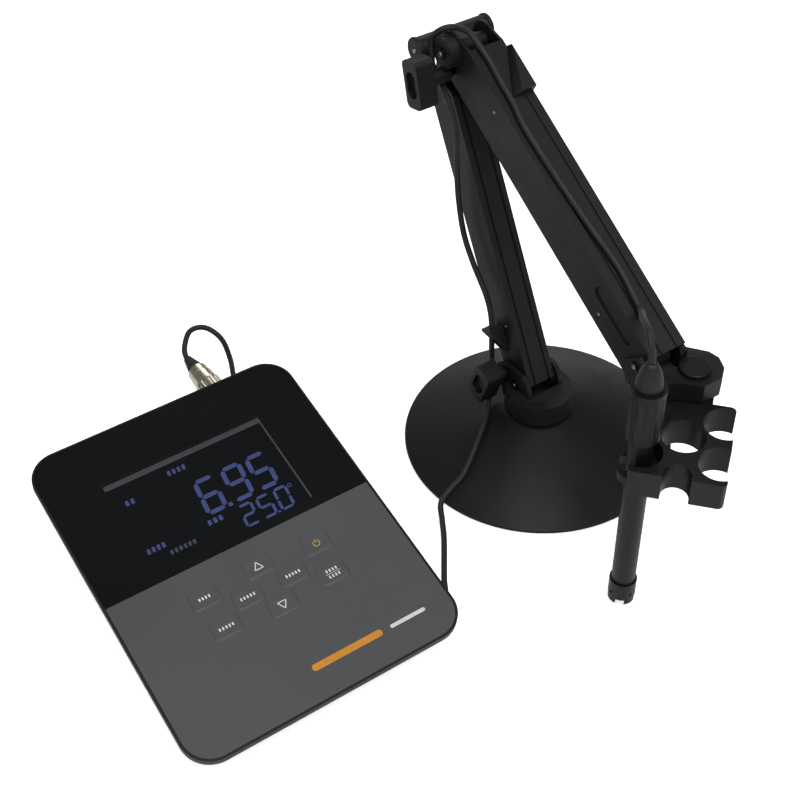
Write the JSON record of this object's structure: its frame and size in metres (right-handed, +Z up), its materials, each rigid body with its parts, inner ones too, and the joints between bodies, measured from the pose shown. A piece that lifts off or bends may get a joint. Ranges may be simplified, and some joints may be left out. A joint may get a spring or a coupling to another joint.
{
  "type": "bench pH meter with electrode stand",
  "caption": "Bench pH meter: wedge-shaped console with display and keys, weighted stand with a two-section levelling arm, multi-hole electrode holder and a cabled pH electrode.",
  "frame": {"origin": "centre of the stand's round foot, on the bench surface, on the turret's swivel axis", "axes": "+X along the width of the console, which stands at negative x; +Y away from the front of the console; +Z up from the bench"},
  "size_m": [0.3435, 0.302, 0.2265],
  "materials": {
    "black_plastic": "moulded black plastic with a fine texture",
    "grey_overlay": "satin grey overlay film",
    "black_overlay": "satin black overlay film",
    "lcd_glass": "dark display with dim violet segments",
    "white_plastic": "off-white plastic",
    "grey_rubber": "moulded silicone",
    "key_grey": "embossed key in the overlay's grey",
    "circuit_board": "solder-masked circuit board",
    "nickel": "warm nickel plating",
    "black_rubber": "soft black rubber",
    "bare_steel": "bright steel",
    "black_paint": "satin black moulded cover over the weight",
    "cast_iron": "as cast",
    "brass": "turned bush",
    "arm_plastic": "black glass-filled plastic",
    "holder_plastic": "black plastic, lightly satin",
    "electrode_plastic": "dark epoxy electrode body",
    "bulb_glass": "thin sensing glass",
    "cable_jacket": "coaxial cable jacket"
  },
  "bodies": {
    "root": {"top_shell": "black_plastic", "bottom_shell": "black_plastic", "face_panel": "grey_overlay", "display_panel": "black_overlay", "lcd_glass": "lcd_glass", "lcd_backlight": "white_plastic", "keypad_mat": "grey_rubber", "main_board": "circuit_board", "board_chips": "black_plastic", "bnc_jack": "nickel", "power_jack": "black_plastic", "temperature_jack": "black_plastic", "rubber_feet": "black_rubber", "case_screws": "bare_steel", "bnc_plug": "nickel", "bnc_boot": "black_rubber", "base_shell": "black_paint", "base_weight": "cast_iron", "base_pad": "black_rubber", "swivel_bush": "brass", "swivel_washer": "bare_steel", "bench_cable": "cable_jacket", "base_cable": "cable_jacket"},
    "turret": {"turret": "arm_plastic", "turret_pins": "bare_steel", "swivel_bolt": "bare_steel"},
    "lower_front": {"lower_front_link": "arm_plastic", "lower_wedge": "arm_plastic", "lower_cable": "cable_jacket"},
    "lower_rear": {"lower_rear_link": "arm_plastic"},
    "elbow": {"elbow_block": "arm_plastic", "elbow_pins": "bare_steel", "barrel_caps": "arm_plastic"},
    "upper_top": {"upper_top_link": "arm_plastic", "upper_wedge": "arm_plastic", "upper_cable": "cable_jacket"},
    "upper_bottom": {"upper_bottom_link": "arm_plastic"},
    "knuckle": {"knuckle": "arm_plastic", "knuckle_pins": "bare_steel"},
    "holder": {"holder": "holder_plastic", "swivel_stud": "holder_plastic", "adapter_ring": "holder_plastic"},
    "electrode": {"electrode_body": "electrode_plastic", "electrode_cap": "electrode_plastic", "strain_relief": "black_rubber", "glass_bulb": "bulb_glass", "bulb_guard": "electrode_plastic", "reference_junction": "white_plastic", "electrode_cable": "cable_jacket"},
    "base_knob": {"base_knob": "arm_plastic"},
    "elbow_knob": {"elbow_knob": "arm_plastic"},
    "bnc_collar": {"bnc_collar": "nickel"},
    "mode_key": {"mode_key": "key_grey"},
    "up_key": {"up_key": "key_grey"},
    "power_key": {"power_key": "key_grey"},
    "standardize_key": {"standardize_key": "key_grey"},
    "slope_key": {"slope_key": "key_grey"},
    "clear_key": {"clear_key": "key_grey"},
    "down_key": {"down_key": "key_grey"},
    "measure_key": {"measure_key": "key_grey"}
  },
  "joints": [
    {"name": "turret_swivel", "type": "hinge", "parent": "root", "child": "turret", "pos_m": [0, 0, 0.03], "axis": [0, 0, 1], "range_deg": [-30, 150]},
    {"name": "lower_arm_tilt", "type": "hinge", "parent": "turret", "child": "lower_front", "pos_m": [0, 0.0066, 0.041], "axis": [1, 0, 0], "range_deg": [-4, 55]},
    {"name": "lower_rear_link_tilt", "type": "hinge", "parent": "turret", "child": "lower_rear", "pos_m": [0, 0.0175, 0.042], "axis": [1, 0, 0], "range_deg": [-4, 55]},
    {"name": "elbow_level", "type": "hinge", "parent": "lower_front", "child": "elbow", "pos_m": [0, 0.07924, 0.18356], "axis": [1, 0, 0], "range_deg": [-55, 4]},
    {"name": "upper_arm_tilt", "type": "hinge", "parent": "elbow", "child": "upper_top", "pos_m": [0, 0.07084, 0.21716], "axis": [1, 0, 0], "range_deg": [-60, 4]},
    {"name": "upper_bottom_link_tilt", "type": "hinge", "parent": "elbow", "child": "upper_bottom", "pos_m": [0, 0.07194, 0.20466], "axis": [1, 0, 0], "range_deg": [-60, 4]},
    {"name": "knuckle_level", "type": "hinge", "parent": "upper_top", "child": "knuckle", "pos_m": [0, -0.08434, 0.12207], "axis": [1, 0, 0], "range_deg": [-4, 60]},
    {"name": "holder_swivel", "type": "hinge", "parent": "knuckle", "child": "holder", "pos_m": [0.0109, -0.1001, 0.1], "axis": [0, 0, 1], "range_deg": [-2, 100]},
    {"name": "electrode_slide", "type": "slide", "parent": "holder", "child": "electrode", "axis": [0, 0, 1], "range_m": [-0.003, 0.06]},
    {"name": "base_knob_turn", "type": "hinge", "parent": "turret", "child": "base_knob", "pos_m": [0, 0.0175, 0.042], "axis": [-1, 0, 0], "continuous": true},
    {"name": "elbow_knob_turn", "type": "hinge", "parent": "elbow", "child": "elbow_knob", "pos_m": [0, 0.07194, 0.20466], "axis": [-1, 0, 0], "continuous": true},
    {"name": "bnc_collar_turn", "type": "hinge", "parent": "root", "child": "bnc_collar", "pos_m": [-0.1555, 0.0845, 0.0475], "axis": [0, 1, 0], "range_deg": [0, 90]},
    {"name": "mode_key_press", "type": "slide", "parent": "root", "child": "mode_key", "axis": [0, 0.2037, -0.979], "range_m": [0, 0.0005], "stiffness_N_per_m": 400},
    {"name": "up_key_press", "type": "slide", "parent": "root", "child": "up_key", "axis": [0, 0.2037, -0.979], "range_m": [0, 0.0005], "stiffness_N_per_m": 400},
    {"name": "power_key_press", "type": "slide", "parent": "root", "child": "power_key", "axis": [0, 0.2037, -0.979], "range_m": [0, 0.0005], "stiffness_N_per_m": 400},
    {"name": "standardize_key_press", "type": "slide", "parent": "root", "child": "standardize_key", "axis": [0, 0.2037, -0.979], "range_m": [0, 0.0005], "stiffness_N_per_m": 400},
    {"name": "slope_key_press", "type": "slide", "parent": "root", "child": "slope_key", "axis": [0, 0.2037, -0.979], "range_m": [0, 0.0005], "stiffness_N_per_m": 400},
    {"name": "clear_key_press", "type": "slide", "parent": "root", "child": "clear_key", "axis": [0, 0.2037, -0.979], "range_m": [0, 0.0005], "stiffness_N_per_m": 400},
    {"name": "down_key_press", "type": "slide", "parent": "root", "child": "down_key", "axis": [0, 0.2037, -0.979], "range_m": [0, 0.0005], "stiffness_N_per_m": 400},
    {"name": "measure_key_press", "type": "slide", "parent": "root", "child": "measure_key", "axis": [0, 0.2037, -0.979], "range_m": [0, 0.0005], "stiffness_N_per_m": 400}
  ],
  "couplings": [
    {"joint": "lower_rear_link_tilt", "follows": "lower_arm_tilt", "ratio": 1},
    {"joint": "elbow_level", "follows": "lower_arm_tilt", "ratio": -1},
    {"joint": "upper_bottom_link_tilt", "follows": "upper_arm_tilt", "ratio": 1},
    {"joint": "knuckle_level", "follows": "upper_arm_tilt", "ratio": -1}
  ]
}
